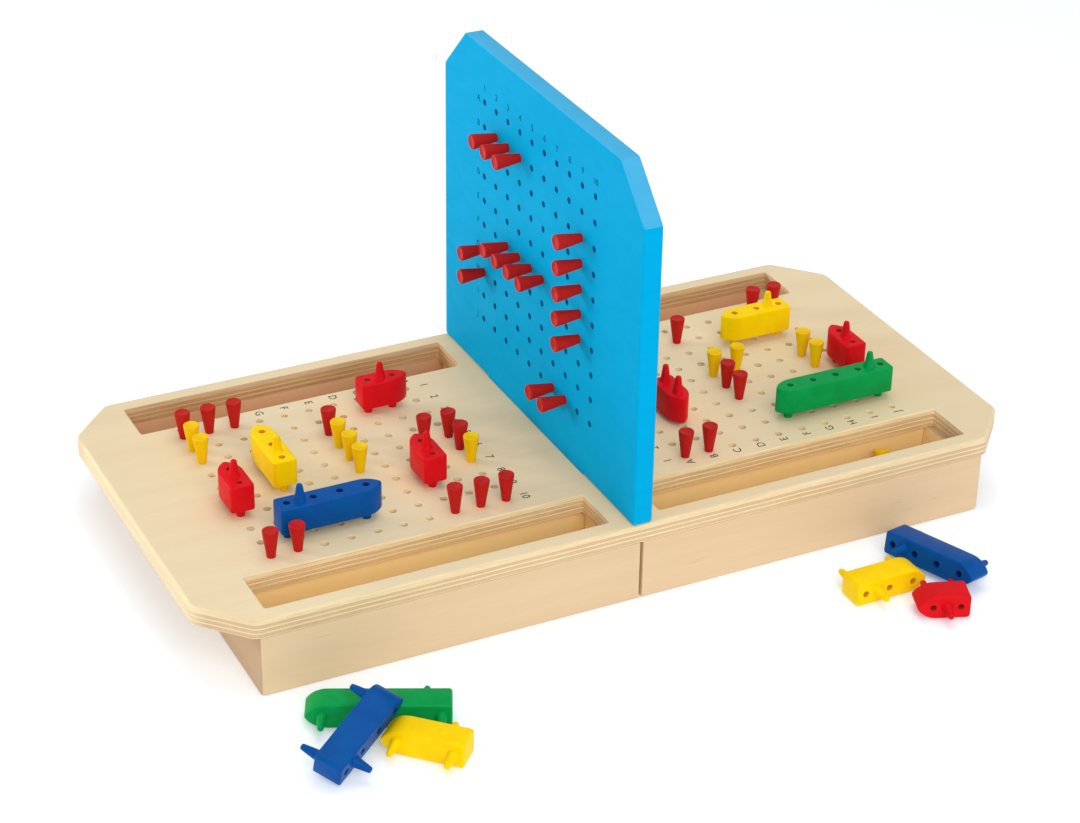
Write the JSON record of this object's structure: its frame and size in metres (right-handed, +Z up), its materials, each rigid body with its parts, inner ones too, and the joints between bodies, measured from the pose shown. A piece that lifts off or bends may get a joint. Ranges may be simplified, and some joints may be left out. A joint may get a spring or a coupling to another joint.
{
  "type": "fleet guessing case",
  "caption": "Wooden tabletop case with two drilled peg grids, open trays and a plug-in upright divider, with plastic ships and tapered pegs standing in the holes.",
  "frame": {"origin": "centre of the case's underside, on the table", "axes": "+Z up, +X along the case's length to the second player's board, +Y towards the side away from the spare ships"},
  "size_m": [0.488, 0.3449, 0.248],
  "materials": {
    "birch_board": "pale birch plywood, satin varnish, plies showing on every edge",
    "birch_wall": "pale birch plywood, satin",
    "base_plywood": "thin golden plywood, satin",
    "sky_blue_paint": "wooden board with satin sky-blue paint",
    "red_ship_plastic": "satin moulded plastic",
    "yellow_ship_plastic": "satin moulded plastic",
    "blue_ship_plastic": "satin moulded plastic",
    "green_ship_plastic": "satin moulded plastic",
    "red_peg_plastic": "satin moulded plastic",
    "yellow_peg_plastic": "satin moulded plastic"
  },
  "bodies": {
    "case": {"back_wall_left": "birch_wall", "back_wall_right": "birch_wall", "base_panel": "base_plywood", "centre_wall_left": "birch_wall", "centre_wall_right": "birch_wall", "end_wall_left": "birch_wall", "end_wall_right": "birch_wall", "front_wall_left": "birch_wall", "front_wall_right": "birch_wall", "top_board": "birch_board", "tray_rail_back_left": "birch_wall", "tray_rail_back_right": "birch_wall", "tray_rail_front_left": "birch_wall", "tray_rail_front_right": "birch_wall"},
    "divider": {"divider": "sky_blue_paint"},
    "left_blue_ship": {"left_blue_ship": "blue_ship_plastic"},
    "left_red_peg_01": {"left_red_peg_01": "red_peg_plastic"},
    "left_red_peg_02": {"left_red_peg_02": "red_peg_plastic"},
    "left_red_peg_03": {"left_red_peg_03": "red_peg_plastic"},
    "left_red_peg_04": {"left_red_peg_04": "red_peg_plastic"},
    "left_red_peg_05": {"left_red_peg_05": "red_peg_plastic"},
    "left_red_peg_06": {"left_red_peg_06": "red_peg_plastic"},
    "left_red_peg_07": {"left_red_peg_07": "red_peg_plastic"},
    "left_red_peg_08": {"left_red_peg_08": "red_peg_plastic"},
    "left_red_peg_09": {"left_red_peg_09": "red_peg_plastic"},
    "left_red_peg_10": {"left_red_peg_10": "red_peg_plastic"},
    "left_red_peg_11": {"left_red_peg_11": "red_peg_plastic"},
    "left_red_peg_12": {"left_red_peg_12": "red_peg_plastic"},
    "left_red_ship_a": {"left_red_ship_a": "red_ship_plastic"},
    "left_red_ship_b": {"left_red_ship_b": "red_ship_plastic"},
    "left_red_ship_c": {"left_red_ship_c": "red_ship_plastic"},
    "left_yellow_peg_01": {"left_yellow_peg_01": "yellow_peg_plastic"},
    "left_yellow_peg_02": {"left_yellow_peg_02": "yellow_peg_plastic"},
    "left_yellow_peg_03": {"left_yellow_peg_03": "yellow_peg_plastic"},
    "left_yellow_peg_04": {"left_yellow_peg_04": "yellow_peg_plastic"},
    "left_yellow_peg_05": {"left_yellow_peg_05": "yellow_peg_plastic"},
    "left_yellow_peg_06": {"left_yellow_peg_06": "yellow_peg_plastic"},
    "left_yellow_ship": {"left_yellow_ship": "yellow_ship_plastic"},
    "right_green_ship": {"right_green_ship": "green_ship_plastic"},
    "right_red_peg_01": {"right_red_peg_01": "red_peg_plastic"},
    "right_red_peg_02": {"right_red_peg_02": "red_peg_plastic"},
    "right_red_peg_03": {"right_red_peg_03": "red_peg_plastic"},
    "right_red_peg_04": {"right_red_peg_04": "red_peg_plastic"},
    "right_red_peg_05": {"right_red_peg_05": "red_peg_plastic"},
    "right_red_peg_06": {"right_red_peg_06": "red_peg_plastic"},
    "right_red_peg_07": {"right_red_peg_07": "red_peg_plastic"},
    "right_red_ship": {"right_red_ship": "red_ship_plastic"},
    "right_red_ship_capsized": {"right_red_ship_capsized": "red_ship_plastic"},
    "right_yellow_peg_01": {"right_yellow_peg_01": "yellow_peg_plastic"},
    "right_yellow_peg_02": {"right_yellow_peg_02": "yellow_peg_plastic"},
    "right_yellow_peg_03": {"right_yellow_peg_03": "yellow_peg_plastic"},
    "right_yellow_peg_04": {"right_yellow_peg_04": "yellow_peg_plastic"},
    "right_yellow_ship": {"right_yellow_ship": "yellow_ship_plastic"},
    "spare_blue_ship_front": {"spare_blue_ship_front": "blue_ship_plastic"},
    "spare_blue_ship_right": {"spare_blue_ship_right": "blue_ship_plastic"},
    "spare_green_ship": {"spare_green_ship": "green_ship_plastic"},
    "spare_red_ship_right": {"spare_red_ship_right": "red_ship_plastic"},
    "spare_yellow_ship_front": {"spare_yellow_ship_front": "yellow_ship_plastic"},
    "spare_yellow_ship_right": {"spare_yellow_ship_right": "yellow_ship_plastic"}
  },
  "joints": [
    {"name": "divider_lift", "type": "slide", "parent": "case", "child": "divider", "axis": [0, 0, 1], "range_m": [0, 0.06]},
    {"name": "left_blue_ship_lift", "type": "slide", "parent": "case", "child": "left_blue_ship", "axis": [0, 0, 1], "range_m": [0, 0.045]},
    {"name": "left_red_peg_01_lift", "type": "slide", "parent": "case", "child": "left_red_peg_01", "axis": [0, 0, 1], "range_m": [0, 0.045]},
    {"name": "left_red_peg_02_lift", "type": "slide", "parent": "case", "child": "left_red_peg_02", "axis": [0, 0, 1], "range_m": [0, 0.045]},
    {"name": "left_red_peg_03_lift", "type": "slide", "parent": "case", "child": "left_red_peg_03", "axis": [0, 0, 1], "range_m": [0, 0.045]},
    {"name": "left_red_peg_04_lift", "type": "slide", "parent": "case", "child": "left_red_peg_04", "axis": [0, 0, 1], "range_m": [0, 0.045]},
    {"name": "left_red_peg_05_lift", "type": "slide", "parent": "case", "child": "left_red_peg_05", "axis": [0, 0, 1], "range_m": [0, 0.045]},
    {"name": "left_red_peg_06_lift", "type": "slide", "parent": "case", "child": "left_red_peg_06", "axis": [0, 0, 1], "range_m": [0, 0.045]},
    {"name": "left_red_peg_07_lift", "type": "slide", "parent": "case", "child": "left_red_peg_07", "axis": [0, 0, 1], "range_m": [0, 0.045]},
    {"name": "left_red_peg_08_lift", "type": "slide", "parent": "case", "child": "left_red_peg_08", "axis": [0, 0, 1], "range_m": [0, 0.045]},
    {"name": "left_red_peg_09_lift", "type": "slide", "parent": "case", "child": "left_red_peg_09", "axis": [0, 0, 1], "range_m": [0, 0.045]},
    {"name": "left_red_peg_10_lift", "type": "slide", "parent": "case", "child": "left_red_peg_10", "axis": [0, 0, 1], "range_m": [0, 0.045]},
    {"name": "left_red_peg_11_lift", "type": "slide", "parent": "case", "child": "left_red_peg_11", "axis": [0, 0, 1], "range_m": [0, 0.045]},
    {"name": "left_red_peg_12_lift", "type": "slide", "parent": "case", "child": "left_red_peg_12", "axis": [0, 0, 1], "range_m": [0, 0.045]},
    {"name": "left_red_ship_a_lift", "type": "slide", "parent": "case", "child": "left_red_ship_a", "axis": [0, 0, 1], "range_m": [0, 0.045]},
    {"name": "left_red_ship_b_lift", "type": "slide", "parent": "case", "child": "left_red_ship_b", "axis": [0, 0, 1], "range_m": [0, 0.045]},
    {"name": "left_red_ship_c_lift", "type": "slide", "parent": "case", "child": "left_red_ship_c", "axis": [0, 0, 1], "range_m": [0, 0.045]},
    {"name": "left_yellow_peg_01_lift", "type": "slide", "parent": "case", "child": "left_yellow_peg_01", "axis": [0, 0, 1], "range_m": [0, 0.045]},
    {"name": "left_yellow_peg_02_lift", "type": "slide", "parent": "case", "child": "left_yellow_peg_02", "axis": [0, 0, 1], "range_m": [0, 0.045]},
    {"name": "left_yellow_peg_03_lift", "type": "slide", "parent": "case", "child": "left_yellow_peg_03", "axis": [0, 0, 1], "range_m": [0, 0.045]},
    {"name": "left_yellow_peg_04_lift", "type": "slide", "parent": "case", "child": "left_yellow_peg_04", "axis": [0, 0, 1], "range_m": [0, 0.045]},
    {"name": "left_yellow_peg_05_lift", "type": "slide", "parent": "case", "child": "left_yellow_peg_05", "axis": [0, 0, 1], "range_m": [0, 0.045]},
    {"name": "left_yellow_peg_06_lift", "type": "slide", "parent": "case", "child": "left_yellow_peg_06", "axis": [0, 0, 1], "range_m": [0, 0.045]},
    {"name": "left_yellow_ship_lift", "type": "slide", "parent": "case", "child": "left_yellow_ship", "axis": [0, 0, 1], "range_m": [0, 0.045]},
    {"name": "right_green_ship_lift", "type": "slide", "parent": "case", "child": "right_green_ship", "axis": [0, 0, 1], "range_m": [0, 0.045]},
    {"name": "right_red_peg_01_lift", "type": "slide", "parent": "case", "child": "right_red_peg_01", "axis": [0, 0, 1], "range_m": [0, 0.045]},
    {"name": "right_red_peg_02_lift", "type": "slide", "parent": "case", "child": "right_red_peg_02", "axis": [0, 0, 1], "range_m": [0, 0.045]},
    {"name": "right_red_peg_03_lift", "type": "slide", "parent": "case", "child": "right_red_peg_03", "axis": [0, 0, 1], "range_m": [0, 0.045]},
    {"name": "right_red_peg_04_lift", "type": "slide", "parent": "case", "child": "right_red_peg_04", "axis": [0, 0, 1], "range_m": [0, 0.045]},
    {"name": "right_red_peg_05_lift", "type": "slide", "parent": "case", "child": "right_red_peg_05", "axis": [0, 0, 1], "range_m": [0, 0.045]},
    {"name": "right_red_peg_06_lift", "type": "slide", "parent": "case", "child": "right_red_peg_06", "axis": [0, 0, 1], "range_m": [0, 0.045]},
    {"name": "right_red_peg_07_lift", "type": "slide", "parent": "case", "child": "right_red_peg_07", "axis": [0, 0, 1], "range_m": [0, 0.045]},
    {"name": "right_red_ship_lift", "type": "slide", "parent": "case", "child": "right_red_ship", "axis": [0, 0, 1], "range_m": [0, 0.045]},
    {"name": "right_red_ship_capsized_lift", "type": "slide", "parent": "case", "child": "right_red_ship_capsized", "axis": [0, 0, 1], "range_m": [0, 0.045]},
    {"name": "right_yellow_peg_01_lift", "type": "slide", "parent": "case", "child": "right_yellow_peg_01", "axis": [0, 0, 1], "range_m": [0, 0.045]},
    {"name": "right_yellow_peg_02_lift", "type": "slide", "parent": "case", "child": "right_yellow_peg_02", "axis": [0, 0, 1], "range_m": [0, 0.045]},
    {"name": "right_yellow_peg_03_lift", "type": "slide", "parent": "case", "child": "right_yellow_peg_03", "axis": [0, 0, 1], "range_m": [0, 0.045]},
    {"name": "right_yellow_peg_04_lift", "type": "slide", "parent": "case", "child": "right_yellow_peg_04", "axis": [0, 0, 1], "range_m": [0, 0.045]},
    {"name": "right_yellow_ship_lift", "type": "slide", "parent": "case", "child": "right_yellow_ship", "axis": [0, 0, 1], "range_m": [0, 0.045]},
    {"name": "spare_blue_ship_front_lift", "type": "slide", "parent": "spare_green_ship", "child": "spare_blue_ship_front", "axis": [0, 0, 1], "range_m": [0, 0.045]},
    {"name": "spare_blue_ship_right_lift", "type": "slide", "parent": "spare_yellow_ship_right", "child": "spare_blue_ship_right", "axis": [0, 0, 1], "range_m": [0, 0.045]},
    {"name": "spare_green_ship_lift", "type": "slide", "parent": "case", "child": "spare_green_ship", "axis": [0, 0, 1], "range_m": [0, 0.045]},
    {"name": "spare_red_ship_right_lift", "type": "slide", "parent": "case", "child": "spare_red_ship_right", "axis": [0, -0.7809, 0.6247], "range_m": [0, 0.045]},
    {"name": "spare_yellow_ship_front_lift", "type": "slide", "parent": "case", "child": "spare_yellow_ship_front", "axis": [0, -0.7809, 0.6247], "range_m": [0, 0.045]},
    {"name": "spare_yellow_ship_right_lift", "type": "slide", "parent": "case", "child": "spare_yellow_ship_right", "axis": [0, 0, 1], "range_m": [0, 0.045]}
  ]
}
